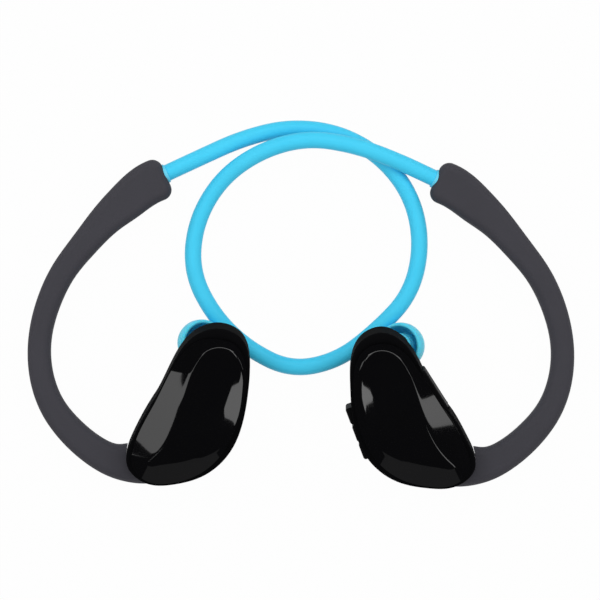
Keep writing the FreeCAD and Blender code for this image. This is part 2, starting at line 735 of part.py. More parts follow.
def build_driver(side, prefix):
    """The loudspeaker on its foam ring, face down over the nozzle: frame, diaphragm and magnet."""
    place = pod_frame(side) * at(side * SIZES["driver_x"], SIZES["driver_y"], SIZES["housing_floor"])
    wall, radius, height = size("driver_wall"), size("driver_radius"), size("driver_height")
    foam, frame = f"{prefix}_driver_foam", f"{prefix}_driver_frame"
    diaphragm, magnet = f"{prefix}_driver_diaphragm", f"{prefix}_driver_magnet"
    keep(foam, disc(foam, place, radius, size("driver_foam"), radius - size("driver_foam_width")))
    seat = place * at(z=SIZES["driver_foam"])
    roof = height - wall
    step = size("diaphragm_thickness") + size("diaphragm_rise")
    keep(frame, turned(frame, seat, [
        (0, roof), (radius - wall * 2, roof), (radius - wall * 2, step), (radius - wall, step),
        (radius - wall, 0), (radius, 0), (radius, height), (0, height),
    ]))
    edge = radius - wall - size("tip_clearance")
    keep(diaphragm, disc(diaphragm, seat * at(z=size("diaphragm_rise")), edge, size("diaphragm_thickness")))
    keep(magnet, disc(magnet, seat * at(z=roof - size("magnet_height")), size("magnet_radius"),
                      size("magnet_height"), size("magnet_hole")))


# ---------------------------------------------------------------- ear hook and band

def build_pod_envelope(side, name):
    """The pod's outline plus the seam, tall enough to trim the hook's end to the pod's wall."""
    reach = size("hook_thickness") * 2
    body = new_body(name, pod_frame(side))
    sketch = new_sketch(body, height=-reach)
    draw_outline(sketch, pod_outline(side, -size("seam_gap"), under_cover=False))
    pad(body, sketch, reach * 2)
    return body


def build_ear_hook(side, name):
    """The soft-touch hook that goes over the ear, trimmed to the pod, with its tang and cable channel."""
    body = new_body(f"{name}_blank")
    sketch = new_sketch(body)
    stations = hook_stations(side)
    line = [(x, y) for x, y, _ in stations]
    edges = []
    for sign in (1, -1):
        edges.append([(x + sign * half * nx, y + sign * half * ny)
                      for (x, y, half), (nx, ny) in zip(stations, normals(line, closed=False))])
    draw_profile(sketch, [edges[0], [edges[0][-1], edges[1][-1]], edges[1], [edges[1][0], edges[0][0]]])
    pad(body, sketch, size("hook_thickness"))
    tail, near_tail = Vector(*line[0], 0), stations[0][2] * 1.4

    def tail_corner(edge):
        box = edge.BoundBox
        return box.ZLength > 1 and (Vector(box.Center.x, box.Center.y, 0) - tail).Length < near_tail
    round_edges(body, tail_corner, size("hook_corner_round"))
    root = Vector(*line[-1], 0)

    def long_edge(edge):
        box = edge.BoundBox
        at_root = (Vector(box.Center.x, box.Center.y, 0) - root).Length < stations[-1][2] / 2
        return box.ZLength < 0.01 and not at_root
    round_edges(body, long_edge, size("hook_edge_round"))
    trimmed = cut(f"{name}_trimmed", body, [build_pod_envelope(side, f"{name}_envelope")])
    solid = join(f"{name}_with_tang", [trimmed, hook_socket(side, f"{name}_tang")])
    channel = pipe(f"{name}_channel", hook_wire_points(side), size("band_bore") / 2)
    socket = pipe(f"{name}_band_socket", hook_band_points(side), size("band_diameter") / 2)
    mouth = collar_seat(side, name)
    keep(name, cut(f"{name}_cut", solid, [channel, socket, mouth]))


def hook_wire_points(side):
    """The wires' route in the hook, with the run before it so that the arcs are the same."""
    points = BAND_ROUTE[-2:] + HOOK_ROUTE
    if side > 0:
        return points
    return BAND_ROUTE[1::-1] + [left_hook_point(*p) for p in HOOK_ROUTE]


def hook_band_points(side):
    """The band's last stretch, which is held in the hook's tail."""
    return BAND_ROUTE[-3:] if side > 0 else BAND_ROUTE[2::-1]


def mouth_frame(side):
    """Where the band leaves the hook's tail face, with z pointing out along the band."""
    tail, further = hook_stations(side)[:2]
    wire, _ = rounded_route(BAND_ROUTE)
    target = Part.Vertex(tail[0], tail[1], HOOK_ROUTE[0][2])
    edge = min(wire.Edges, key=lambda part: part.distToShape(target)[0])
    point = edge.distToShape(target)[1][0][0]
    out = edge.tangentAt(edge.Curve.parameter(point))
    if out.dot(Vector(tail[0] - further[0], tail[1] - further[1], 0)) < 0:
        out = -out
    return Placement(point, Rotation(Vector(0, 0, 1), out))


def collar_seat(side, name):
    """The room for the collar in the hook's mouth."""
    radius = size("band_diameter") / 2 + size("collar_wall") + size("hole_clearance")
    depth = size("collar_length") - size("collar_proud")
    return rod_tool(f"{name}_collar_seat", mouth_frame(side) * at(z=-float(depth)), radius,
                    size("collar_length") * 3)


def build_band_collar(side, name):
    """The thin ring that closes the hook's mouth around the band."""
    place = mouth_frame(side) * at(z=size("collar_proud") - size("collar_length"))
    hole = size("band_diameter") / 2 + size("collar_clearance")
    outside = size("band_diameter") / 2 + size("collar_wall")
    keep(name, disc(name, place, outside, size("collar_length"), hole))


def build_band():
    """The silicone tube, and in its bore the springy wire and the signal cable."""
    skin = pipe("band_skin", BAND_ROUTE, size("band_diameter") / 2, label_length=True)
    bore = pipe("band_bore_tool", BAND_ROUTE, size("band_bore") / 2)
    keep("neckband", cut("neckband_cut", skin, [bore]))
    above = raised(wire_route(), size("wire_offset"))
    below = raised(wire_route(), -size("wire_offset"))
    keep("memory_wire", pipe("memory_wire", above, size("wire_diameter") / 2, label_length=True))
    keep("signal_cable", pipe("signal_cable", below, size("cable_diameter") / 2, label_length=True))


# ---------------------------------------------------------------- what only the right pod has

# Turns a wall frame so that z points out of the wall.
OUTWARDS = Placement(Vector(), Rotation(Vector(1, 0, 0), -90))


def build_keys():
    """Three rubber keys with stems through the wall, and the push switches behind them."""
    height = size("key_height")
    stem_depth = size("stem_depth") + size("key_lift")
    behind = size("stem_depth") + size("switch_gap") + size("switch_depth") / 2
    board_top = size("board_z") + size("board_thickness")
    switches = []
    for node, x in key_places().items():
        place = key_frame() * at(x, SIZES["key_lift"], 0) * OUTWARDS
        cap = block(f"{node}_cap", place, size("key_length"), size("key_width"), height, size("key_round"),
                    edge_height(height))
        stem = block(f"{node}_stem", place * at(z=-float(stem_depth)), size("stem_length"),
                     size("stem_width"), stem_depth + size("stem_root"))
        keep(node, join(f"{node}_joined", [cap, stem]))
        switch_place = key_frame() * at(x, -behind.number, board_top - size("key_z"))
        switches.append(block(f"{node}_switch", switch_place, size("switch_length"), size("switch_depth"),
                              size("switch_height")))
    keep("key_switches", join("key_switches_joined", switches))


def light_frame():
    """In the right pod's side wall below the charging port, with z pointing outwards."""
    end, start = PORT_ENDS
    frame = wall_frame(start, end, SIZES["light_z"], SIZES["light_inset"])
    return frame * at(SIZES["port_length"] / 2 + SIZES["light_below_port"]) * OUTWARDS


def build_port():
    """The charging socket on the board, and over it the rubber cover with its plug and hinge roll."""
    frame = port_frame()
    behind = size("plug_depth") + size("plug_gap") + size("socket_depth") / 2
    inner = frame * at(y=-behind.number)
    socket = block("charging_socket_blank", inner * at(z=-SIZES["socket_width"] / 2), size("socket_length"),
                   size("socket_depth"), size("socket_width"))
    wall = size("socket_wall") * 2
    mouth = box_tool("charging_socket_mouth", inner * at(y=size("socket_back")), size("socket_length") - wall,
                     size("socket_depth"), size("socket_width") - wall)
    keep("charging_socket", cut("charging_socket_cut", socket, [mouth]))
    thickness = size("port_proud") + size("port_recess") - size("port_lift")
    outer = frame * at(y=SIZES["port_lift"]) * OUTWARDS

    def outer_edge(edge):
        at_hinge = abs(edge.BoundBox.XMin - edge.BoundBox.XMax) < 0.01 and edge.BoundBox.XMin > 0
        return edge_height(thickness)(edge) and not at_hinge
    flap = block("port_cover_flap", outer * at(x=-thickness.number / 4), size("port_length") - thickness / 2,
                 size("port_width"), thickness, size("port_edge_round"), outer_edge)
    roll = disc("port_cover_roll", hinge_frame() * at(z=-SIZES["port_width"] / 2), thickness / 2,
                size("port_width"))
    plug = block("port_cover_plug", outer * at(z=-SIZES["plug_depth"]), size("plug_length"),
                 size("plug_width"), size("plug_depth") + size("plug_root"))
    keep("port_cover", join("port_cover_joined", [flap, roll, plug]))


def hinge_frame():
    """On the axis of the roll at the lower end of the port's cover, with z along the axis."""
    half = (size("port_proud") + size("port_recess") - size("port_lift")) / 2
    return port_frame() * at(x=size("port_length") / 2 - half, y=half + size("port_lift"))


def board_outline_level():
    """How far the circuit board stays inside the cover's outline."""
    return size("housing_wall") + size("board_inset")


def build_board():
    """The circuit board, cut clear of loudspeaker and cable, with its shield can, microphone and screws."""
    board_top = size("board_z") + size("board_thickness")
    body = new_body("circuit_board", pod_frame(1))
    sketch = new_sketch(body, height=size("board_z"))
    draw_outline(sketch, pod_outline(1, board_outline_level()))
    pad(body, sketch, size("board_thickness"))
    far = size("board_top") * 2
    above_board = new_sketch(body, height=board_top)
    draw_corners(above_board, [(-far, size("board_top")), (far, size("board_top")), (far, far), (-far, far)])
    pocket(body, above_board, size("board_thickness") * 2)
    cable_corner = new_sketch(body, height=board_top)
    corner_x, corner_y = size("board_corner_x"), size("board_corner_y")
    draw_corners(cable_corner, [(corner_x, -far), (far, -far), (far, corner_y), (corner_x, corner_y)])
    pocket(body, cable_corner, size("board_thickness") * 2)
    holes = new_sketch(body, height=board_top)
    for x, y in BOARD_SCREWS:
        draw_circle(holes, size("screw_radius") + size("board_hole_clearance"), x, y)
    pocket(body, holes, size("board_thickness") * 2)
    keep("circuit_board", body)
    on_board = pod_frame(1) * at(z=board_top)
    turn = turn_z(SIZES["board_turn"])
    keep("shield_can", block("shield_can", on_board * at(SIZES["can_x"], SIZES["can_y"]) * turn,
                             size("can_length"), size("can_width"), size("can_height"), size("can_round"),
                             edge_height(size("can_height"))))
    keep("microphone", block("microphone", on_board * at(SIZES["microphone_x"], SIZES["microphone_y"]) * turn,
                             size("microphone_length"), size("microphone_width"), size("microphone_height")))
    end = size("board_thickness") - size("screw_length")
    screws = [turned(f"board_screw_{i}", on_board * at(x, y), [
        (0, end), (size("screw_radius"), end), (size("screw_radius"), 0), (size("screw_head_radius"), 0),
        (size("screw_head_radius"), size("screw_head_height")), (0, size("screw_head_height")),
    ]) for i, (x, y) in enumerate(BOARD_SCREWS)]
    keep("board_screws", join("board_screws_joined", screws))


def build_light():
    """The status light: a clear pipe through the wall and the small lamp behind it on the board."""
    frame = light_frame()
    start = frame * at(z=size("light_start"))
    keep("light_pipe", disc("light_pipe", start, size("light_radius"), size("light_length")))
    behind = frame * at(z=-SIZES["lamp_depth"] + SIZES["hole_clearance"])
    keep("status_lamp", block("status_lamp", behind, size("lamp_length"), size("lamp_height"),
                              size("lamp_depth")))


# ---------------------------------------------------------------- what only the left pod has

def build_battery():
    """The flat cell on its foam pad, with the charge protection board on top."""
    driver = at(-SIZES["driver_x"], SIZES["driver_y"], SIZES["housing_floor"]) * turn_z(SIZES["battery_turn"])
    down = SIZES["driver_radius"] + SIZES["battery_gap"] + SIZES["battery_length"] / 2
    frame = pod_frame(-1) * driver * at(SIZES["battery_aside"], -down, 0)
    width, length, margin = size("battery_width"), size("battery_length"), size("foam_margin") * 2
    keep("battery_pad", block("battery_pad", frame, width - margin, length - margin, size("foam_thickness")))
    cell = frame * at(z=SIZES["foam_thickness"])
    keep("battery", block("battery", cell, width, length, size("battery_height"), size("battery_round")))
    keep("protection_board", block("protection_board", cell * at(z=SIZES["battery_height"]),
                                   size("protection_width"), size("protection_length"),
                                   size("protection_thickness")))


# ---------------------------------------------------------------- whole headset

def build_all():
    build_sheet()
    build_band()
    for side, prefix in ((1, "right"), (-1, "left")):
        build_inner_housing(side, f"{prefix}_inner_housing")
        build_outer_cover(side, f"{prefix}_outer_cover")
        build_cover_gasket(side, f"{prefix}_cover_gasket")
        build_ear_tip(side, f"{prefix}_ear_tip")
        build_nozzle_mesh(side, f"{prefix}_nozzle_mesh")
        build_driver(side, prefix)
        build_ear_hook(side, f"{prefix}_ear_hook")
        build_band_collar(side, f"{prefix}_band_collar")
    build_keys()
    build_port()
    build_board()
    build_light()
    build_battery()
    DOC.recompute()


def check_all():
    """Stop if any object failed or any piece is empty, open or invalid."""
    for item in DOC.Objects:
        if {"Invalid", "Error"} & set(item.State):
            raise RuntimeError(f"{item.Name} is {item.State}")
    for node, piece in PIECES.items():
        shape = piece.Shape
        if shape.isNull() or not shape.isValid() or not shape.Solids:
            raise RuntimeError(f"{node} is not a sound solid")


def write_all():
    os.makedirs("parts", exist_ok=True)
    for node, piece in PIECES.items():
        piece.Shape.exportStep(f"parts/{node}.step")
        box = piece.Shape.BoundBox
        print(f"{node}: {len(piece.Shape.Solids)} solid(s), {piece.Shape.Volume:.1f} mm3, "
              f"z {box.ZMin:.2f} to {box.ZMax:.2f}")


build_all()
check_all()
write_all()
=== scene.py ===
"""Behind-the-neck sports headset with two glossy pods on soft ear hooks, as it lies on a pale table."""
import logging
import math
from dataclasses import dataclass
from enum import Enum
from typing import Iterable, NamedTuple

import bmesh
import bpy
import numpy as np
from mathutils import Matrix, Quaternion, Vector


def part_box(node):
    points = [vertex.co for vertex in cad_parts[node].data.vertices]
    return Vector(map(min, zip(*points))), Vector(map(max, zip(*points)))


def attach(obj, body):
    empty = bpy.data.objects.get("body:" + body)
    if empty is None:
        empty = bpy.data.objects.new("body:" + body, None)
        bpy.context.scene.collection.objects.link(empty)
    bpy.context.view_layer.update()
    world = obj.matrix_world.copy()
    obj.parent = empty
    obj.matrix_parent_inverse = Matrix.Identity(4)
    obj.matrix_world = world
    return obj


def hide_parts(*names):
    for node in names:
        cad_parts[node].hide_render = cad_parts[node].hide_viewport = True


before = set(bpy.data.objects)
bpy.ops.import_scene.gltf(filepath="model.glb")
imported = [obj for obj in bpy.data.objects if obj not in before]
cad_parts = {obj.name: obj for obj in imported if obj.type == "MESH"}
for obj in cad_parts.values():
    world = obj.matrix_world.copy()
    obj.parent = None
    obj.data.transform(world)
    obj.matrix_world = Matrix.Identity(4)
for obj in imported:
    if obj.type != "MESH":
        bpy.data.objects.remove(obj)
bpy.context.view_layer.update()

LOG = logging.getLogger("headset")
MM = 0.001
ROOT = "headset"
# No real surface is a perfect mirror.
SMOOTHEST = 0.02
WHITE = (1.0, 1.0, 1.0, 1.0)


class Side(Enum):
    """Which of the wearer's ears a piece belongs to."""

    RIGHT = 1
    LEFT = -1

    @property
    def prefix(self) -> str:
        """The word that node names on this side start with."""
        return "right" if self is Side.RIGHT else "left"


# ---------------------------------------------------------------- materials


def linear(hex_colour: str) -> tuple[float, float, float, float]:
    """Turn an sRGB hex colour into linear light.

    Args:
        hex_colour: six hex digits, with or without a leading hash.

    Returns:
        Red, green, blue and an alpha of 1.
    """
    digits = hex_colour.lstrip("#")
    channels = [int(digits[i:i + 2], 16) / 255 for i in (0, 2, 4)]
    red, green, blue = (c / 12.92 if c <= 0.04045 else ((c + 0.055) / 1.055) ** 2.4 for c in channels)
    return (red, green, blue, 1.0)


def add_node(tree: bpy.types.NodeTree, kind: str, inputs: dict | None = None, **settings) -> bpy.types.Node:
    """Add one node with its settings, values and links.

    Args:
        tree: the node tree that gets the node.
        kind: the node's Blender type name.
        inputs: socket name or number to a value, or to an output socket to link from.
        settings: attributes of the node itself.

    Returns:
        The new node.
    """
    node = tree.nodes.new(kind)
    for name, value in settings.items():
        setattr(node, name, value)
    for socket, value in (inputs or {}).items():
        if isinstance(value, bpy.types.NodeSocket):
            tree.links.new(value, node.inputs[socket])
        else:
            node.inputs[socket].default_value = value
    return node


def noise(tree: bpy.types.NodeTree, place: bpy.types.NodeSocket, size_mm: float, detail: float,
          roughness: float) -> bpy.types.NodeSocket:
    """Add a noise pattern of a real size.

    Args:
        tree: the node tree that gets it.
        place: where a point lies, in metres.
        size_mm: how large the pattern's blots are.
        detail: how many finer layers lie over it.
        roughness: how strong those layers are.

    Returns:
        The pattern, about 0.3 to 0.7.
    """
    pattern = add_node(tree, "ShaderNodeTexNoise", {
        "Vector": place, "Scale": 1 / (size_mm * MM), "Detail": detail, "Roughness": roughness})
    return pattern.outputs["Fac"]


def seen_directly(tree: bpy.types.NodeTree) -> bpy.types.NodeSocket:
    """Tell rays that make the picture (straight, mirrored or through glass) from rays that only light it.

    Args:
        tree: the node tree that gets the nodes.

    Returns:
        1 for a ray that makes the picture, 0 for any other.
    """
    ray = add_node(tree, "ShaderNodeLightPath").outputs
    shown = ray["Is Camera Ray"]
    for kind in ("Is Glossy Ray", "Is Transmission Ray"):
        shown = add_node(tree, "ShaderNodeMath", {0: shown, 1: ray[kind]}, operation="MAXIMUM").outputs[0]
    return shown


@dataclass(frozen=True)
class Finish:
    """One real material and how its surface was made: two near colours, gloss, fine grain and slow clouds."""

    name: str
    colour: str
    second: str
    roughness: float
    ior: float = 1.5
    metallic: float = 0.0
    coat: float = 0.0
    coat_roughness: float = 0.03
    specular: float = 0.5
    subsurface: float = 0.0
    scatter_mm: float = 1.5
    grain_mm: float = 0.6
    bump_mm: float = 0.01
    cloud_mm: float = 9.0
    roughness_spread: float = 0.08
    transmission: float = 0.0

    def build(self) -> bpy.types.Material:
        """Make the node material, once: clouded colour, uneven roughness and a fine moulded grain.

        Returns:
            The material of this finish.
        """
        found = bpy.data.materials.get(self.name)
        if found:
            return found
        material = bpy.data.materials.new(self.name)
        material.use_nodes = True
        tree = material.node_tree
        tree.nodes.clear()
        place = add_node(tree, "ShaderNodeTexCoord").outputs["Object"]
        cloud = noise(tree, place, self.cloud_mm, detail=3.0, roughness=0.55)
        grain = noise(tree, place, self.grain_mm, detail=2.0, roughness=0.6)
        tint = add_node(tree, "ShaderNodeMix", {
            0: cloud, 6: linear(self.colour), 7: linear(self.second)}, data_type="RGBA")
        rough = add_node(tree, "ShaderNodeMapRange", {
            "Value": cloud, "From Min": 0.3, "From Max": 0.7,
            "To Min": max(SMOOTHEST, self.roughness - self.roughness_spread),
            "To Max": min(1.0, self.roughness + self.roughness_spread)})
        bump = add_node(tree, "ShaderNodeBump", {
            "Height": grain, "Strength": 1.0, "Distance": self.bump_mm * MM})
        shader = add_node(tree, "ShaderNodeBsdfPrincipled", {
            "Base Color": tint.outputs[2], "Roughness": rough.outputs["Result"],
            "Normal": bump.outputs["Normal"], "IOR": self.ior, "Metallic": self.metallic,
            "Coat Weight": self.coat, "Coat Roughness": self.coat_roughness,
            "Specular IOR Level": self.specular, "Subsurface Weight": self.subsurface,
            "Subsurface Scale": self.scatter_mm * MM, "Transmission Weight": self.transmission})
        add_node(tree, "ShaderNodeOutputMaterial", {"Surface": shader.outputs["BSDF"]})
        return material


# Moulded and eroded grains are some 0.02 to 0.1 mm in reality. That is too fine to show, so they are drawn
# at 0.3 to 0.6 mm.

# Liquid silicone rubber, moulded and powdered: saturated, with a soft gloss. The thin tips let some light
# through.
BAND_SILICONE = Finish("moulded_silicone_band", "#40d2fb", "#4bd8fd", 0.4, specular=0.25, ior=1.41,
                       grain_mm=0.5, bump_mm=0.004, cloud_mm=14.0)
TIP_SILICONE = Finish("moulded_silicone_tip", "#55dcfd", "#62e2ff", 0.4, specular=0.3, subsurface=0.2,
                      ior=1.41, bump_mm=0.003)
COLLAR_SILICONE = Finish("moulded_silicone_collar", "#62d6f6", "#70dcf9", 0.45, specular=0.3, ior=1.41)
# Thermoplastic rubber over plastic, spark-eroded mould: a dark velvet grey with no sharp reflection.
HOOK_RUBBER = Finish("hook_soft_touch_rubber", "#3c3b42", "#424148", 0.68, specular=0.3, grain_mm=0.35,
                     bump_mm=0.012, cloud_mm=16.0)
# ABS with a piano-black lacquer: almost no colour of its own, everything it shows is reflected. Its grain is
# the lacquer's faint orange peel, at its real size.
COVER_LACQUER = Finish("cover_piano_black_abs", "#040405", "#060607", 0.045, coat=1.0, bump_mm=0.0006,
                       grain_mm=1.4, roughness_spread=0.012)
# Matte moulded polycarbonate blend with a fine erosion grain: black, with no highlight.
HOUSING_PLASTIC = Finish("housing_matte_pc_abs", "#09090b", "#0c0c0e", 0.85, specular=0.05, grain_mm=0.3,
                         bump_mm=0.012)
# Silicone key caps and flap with a light blasted grain: black, a little glossier than the housing.
KEY_RUBBER = Finish("key_silicone_rubber", "#08080a", "#0c0c0e", 0.62, specular=0.12, grain_mm=0.3,
                    bump_mm=0.01)
# Seal and cable jacket: plain dark rubbers, never polished.
GASKET_RUBBER = Finish("gasket_nitrile_rubber", "#0b0b0c", "#131314", 0.7)
CABLE_JACKET = Finish("cable_jacket_tpe", "#0c0c0e", "#151517", 0.5)
# Cold-drawn stainless spring wire: satin metal with a blurred reflection.
SPRING_STEEL = Finish("spring_steel_wire", "#9c9a94", "#b4b2ac", 0.28, metallic=1.0, grain_mm=0.2)
# Woven stainless cloth: a pale glint, broken up by the grain that stands for its wires.
MESH_STEEL = Finish("woven_steel_mesh", "#84868a", "#a5a7ab", 0.35, metallic=1.0, grain_mm=0.12, bump_mm=0.05)
# Loudspeaker parts: cut foam, glass-filled nylon frame, clear film and a plated magnet.
FOAM = Finish("open_cell_foam", "#17171a", "#26262a", 0.95, grain_mm=0.4, bump_mm=0.1)
DRIVER_PLASTIC = Finish("driver_glass_filled_nylon", "#141416", "#1e1e21", 0.55)
DIAPHRAGM_FILM = Finish("diaphragm_pet_film", "#b8b4a8", "#cfcbbf", 0.22)
MAGNET_METAL = Finish("nickel_plated_magnet", "#bdbab4", "#cdcac4", 0.18, metallic=1.0)
# Electronics: stamped and plated metals, green solder mask, clear and diffusing plastics, pouch foil.
SWITCH_METAL = Finish("stamped_steel_switch", "#a8a8a8", "#bcbcbc", 0.32, metallic=1.0)
PORT_METAL = Finish("tin_plated_socket", "#aaaaab", "#c4c4c5", 0.25, metallic=1.0)
BOARD_LAMINATE = Finish("solder_masked_board", "#0b3d22", "#11502d", 0.35, cloud_mm=2.0)
CAN_METAL = Finish("tinned_shield_can", "#b0b0b2", "#c6c6c8", 0.3, metallic=1.0)
MICROPHONE_METAL = Finish("gold_plated_microphone", "#c9b98a", "#d6c79a", 0.25, metallic=1.0)
SCREW_STEEL = Finish("zinc_plated_screw", "#8f9095", "#a7a8ad", 0.3, metallic=1.0)
CLEAR_PLASTIC = Finish("clear_polycarbonate", "#e8ecf0", "#f2f5f8", 0.12, transmission=0.9, ior=1.58)
LAMP_PLASTIC = Finish("lamp_diffused_epoxy", "#d8d8cc", "#e8e8dc", 0.3)
CELL_FOIL = Finish("cell_aluminium_foil", "#a9acb2", "#bfc2c8", 0.3, metallic=1.0, cloud_mm=4.0, bump_mm=0.05)

# Finish of each node, named without its leading right_ or left_.
NODE_FINISHES: dict[str, Finish] = {
    "memory_wire": SPRING_STEEL, "signal_cable": CABLE_JACKET, "inner_housing": HOUSING_PLASTIC,
    "outer_cover": COVER_LACQUER, "cover_gasket": GASKET_RUBBER, "ear_tip": TIP_SILICONE,
    "nozzle_mesh": MESH_STEEL, "driver_foam": FOAM, "driver_frame": DRIVER_PLASTIC,
    "driver_diaphragm": DIAPHRAGM_FILM, "driver_magnet": MAGNET_METAL, "ear_hook": HOOK_RUBBER,
    "band_collar": COLLAR_SILICONE, "volume_up_key": KEY_RUBBER, "multi_function_key": KEY_RUBBER,
    "volume_down_key": KEY_RUBBER, "key_switches": SWITCH_METAL, "charging_socket": PORT_METAL,
    "port_cover": KEY_RUBBER, "circuit_board": BOARD_LAMINATE, "shield_can": CAN_METAL,
    "microphone": MICROPHONE_METAL, "board_screws": SCREW_STEEL, "light_pipe": CLEAR_PLASTIC,
    "status_lamp": LAMP_PLASTIC, "battery_pad": FOAM, "battery": CELL_FOIL,
    "protection_board": BOARD_LAMINATE, "neckband": BAND_SILICONE,
}


def dress_nodes() -> None:
    """Give every carried-over node the finish of its material."""
    for name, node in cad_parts.items():
        key = name.removeprefix("right_").removeprefix("left_")
        node.data.materials.clear()
        node.data.materials.append(NODE_FINISHES[key].build())


def finish_piece(piece: bpy.types.Object, finish: Finish, body: str,
                 replaced: Iterable[str] = ()) -> bpy.types.Object:
    """Give a new piece its material, its slot and its body, and hide the nodes it replaces.

    Args:
        piece: the finished object.
        finish: what it is made of.
        body: the body it moves with.
        replaced: nodes that are no longer shown.

    Returns:
        The same object.
    """
    piece.data.materials.clear()
    piece.data.materials.append(finish.build())
    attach(piece, body)
    names = list(replaced)
    if names:
        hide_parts(*names)
    LOG.info("%s rides on %s", piece.name, body)
    return piece


# ---------------------------------------------------------------- shared shaping


def smooth_loop(points: np.ndarray, count: int) -> np.ndarray:
    """Run a closed cubic spline through points.

    Args:
        points: one row per point.
        count: how many samples to return, evenly spaced along the spline's parameter.

    Returns:
        The samples, one row each.
    """
    size = len(points)
    gaps = np.linalg.norm(np.roll(points, -1, 0)[:, :2] - points[:, :2], axis=1)
    before = np.roll(gaps, 1)
    matrix = np.zeros((size, size))
    right = np.zeros_like(points)
    for i in range(size):
        matrix[i, i - 1] += gaps[i]
        matrix[i, i] += 2 * (gaps[i] + before[i])
        matrix[i, (i + 1) % size] += before[i]
        ahead, behind = points[(i + 1) % size] - points[i], points[i] - points[i - 1]
        right[i] = 3 * (before[i] / gaps[i] * ahead + gaps[i] / before[i] * behind)
    slopes = np.linalg.solve(matrix, right)
    start = np.concatenate([[0.0], np.cumsum(gaps)])
    samples = []
    for along in np.linspace(0.0, start[-1], count, endpoint=False):
        i = min(int(np.searchsorted(start, along, "right")) - 1, size - 1)
        u = (along - start[i]) / gaps[i]
        p, q, m, n = points[i], points[(i + 1) % size], slopes[i] * gaps[i], slopes[(i + 1) % size] * gaps[i]
        samples.append((2 * u**3 - 3 * u**2 + 1) * p + (u**3 - 2 * u**2 + u) * m
                       + (3 * u**2 - 2 * u**3) * q + (u**3 - u**2) * n)
    return np.array(samples)


def inward(loop: np.ndarray) -> np.ndarray:
    """Find the unit normals of a closed outline, towards its inside.

    Args:
        loop: x and y of its points, anticlockwise.

    Returns:
        One normal per point.
    """
    along = np.roll(loop, -1, 0) - np.roll(loop, 1, 0)
    normal = np.stack([-along[:, 1], along[:, 0]], axis=1)
    return normal / np.linalg.norm(normal, axis=1, keepdims=True)


def first_ring(shape: bmesh.types.BMesh, places: list[Vector]) -> list[bmesh.types.BMVert]:
    """Start a skin as a circle that is pulled to the given places.

    Args:
        shape: the empty mesh.
        places: where each vertex of the ring goes.

    Returns:
        The ring, in the order of its places.
    """
    ring = bmesh.ops.create_circle(shape, cap_ends=False, segments=len(places), radius=1.0)["verts"]
    for vert, place in zip(ring, places):
        vert.co = place
    return ring


def next_ring(shape: bmesh.types.BMesh, ring: list[bmesh.types.BMVert],
              places: list[Vector]) -> list[bmesh.types.BMVert]:
    """Extrude a ring's edges and pull the new ring to its places.

    Args:
        shape: the mesh under construction.
        ring: the last ring, in order.
        places: where each vertex of the new ring goes.

    Returns:
        The new ring, in the same order.
    """
    members = set(ring)
    edges = [e for v in ring for e in v.link_edges if e.verts[0] in members and e.verts[1] in members]
    fresh = {v for v in bmesh.ops.extrude_edge_only(shape, edges=list(dict.fromkeys(edges)))["geom"]
             if isinstance(v, bmesh.types.BMVert)}
    grown = [next(e.other_vert(v) for e in v.link_edges if e.other_vert(v) in fresh) for v in ring]
    for vert, place in zip(grown, places):
        vert.co = place
    return grown


def close_ring(shape: bmesh.types.BMesh, ring: list[bmesh.types.BMVert], place: Vector) -> None:
    """Extrude a ring once more and merge it into a pole.

    Args:
        shape: the mesh under construction.
        ring: its last ring.
        place: where the pole goes.
    """
    last = next_ring(shape, ring, [place] * len(ring))
    bmesh.ops.pointmerge(shape, verts=last, merge_co=place)


def turned(profile: Iterable[tuple[float, float]], cuts: int, steps: int) -> bmesh.types.BMesh:
    """Turn a closed profile once round the z axis.

    Args:
        profile: radius and height of each corner, in order round the section.
        cuts: how many new points divide each of its sides.
        steps: how many steps make the full turn.

    Returns:
        The closed skin.
    """
    shape = bmesh.new()
    row = [shape.verts.new((radius, 0.0, height)) for radius, height in profile]
    edges = [shape.edges.new((row[i - 1], row[i])) for i in range(len(row))]
    bmesh.ops.subdivide_edges(shape, edges=edges, cuts=cuts)
    bmesh.ops.spin(shape, geom=shape.verts[:] + shape.edges[:], cent=(0, 0, 0), axis=(0, 0, 1),
                   angle=math.tau, steps=steps, use_merge=True)
    return shape


def facing(way: Iterable[float]) -> Matrix:
    """Find the turn that points the z axis a given way.

    Args:
        way: the direction.

    Returns:
        The turn, with no shift.
    """
    return Vector((0, 0, 1)).rotation_difference(Vector(way)).to_matrix().to_4x4()


def finished_object(shape: bmesh.types.BMesh, name: str, placement: Matrix) -> bpy.types.Object:
    """Turn a shape in millimetres into an object in metres with outward normals and smooth faces.

    Args:
        shape: the mesh, in its own frame and millimetres.
        name: the piece's name.
        placement: where that frame stands, in millimetres.

    Returns:
        The object, at the origin, with its place in its mesh.
    """
    bmesh.ops.transform(shape, matrix=Matrix.Scale(MM, 4) @ placement, verts=shape.verts)
    bmesh.ops.remove_doubles(shape, verts=shape.verts, dist=1e-7)
    bmesh.ops.recalc_face_normals(shape, faces=shape.faces)
    for face in shape.faces:
        face.smooth = True
    mesh = bpy.data.meshes.new(name)
    shape.to_mesh(mesh)
    shape.free()
    piece = bpy.data.objects.new(name, mesh)
    bpy.context.scene.collection.objects.link(piece)
    return piece


# ---------------------------------------------------------------- pods


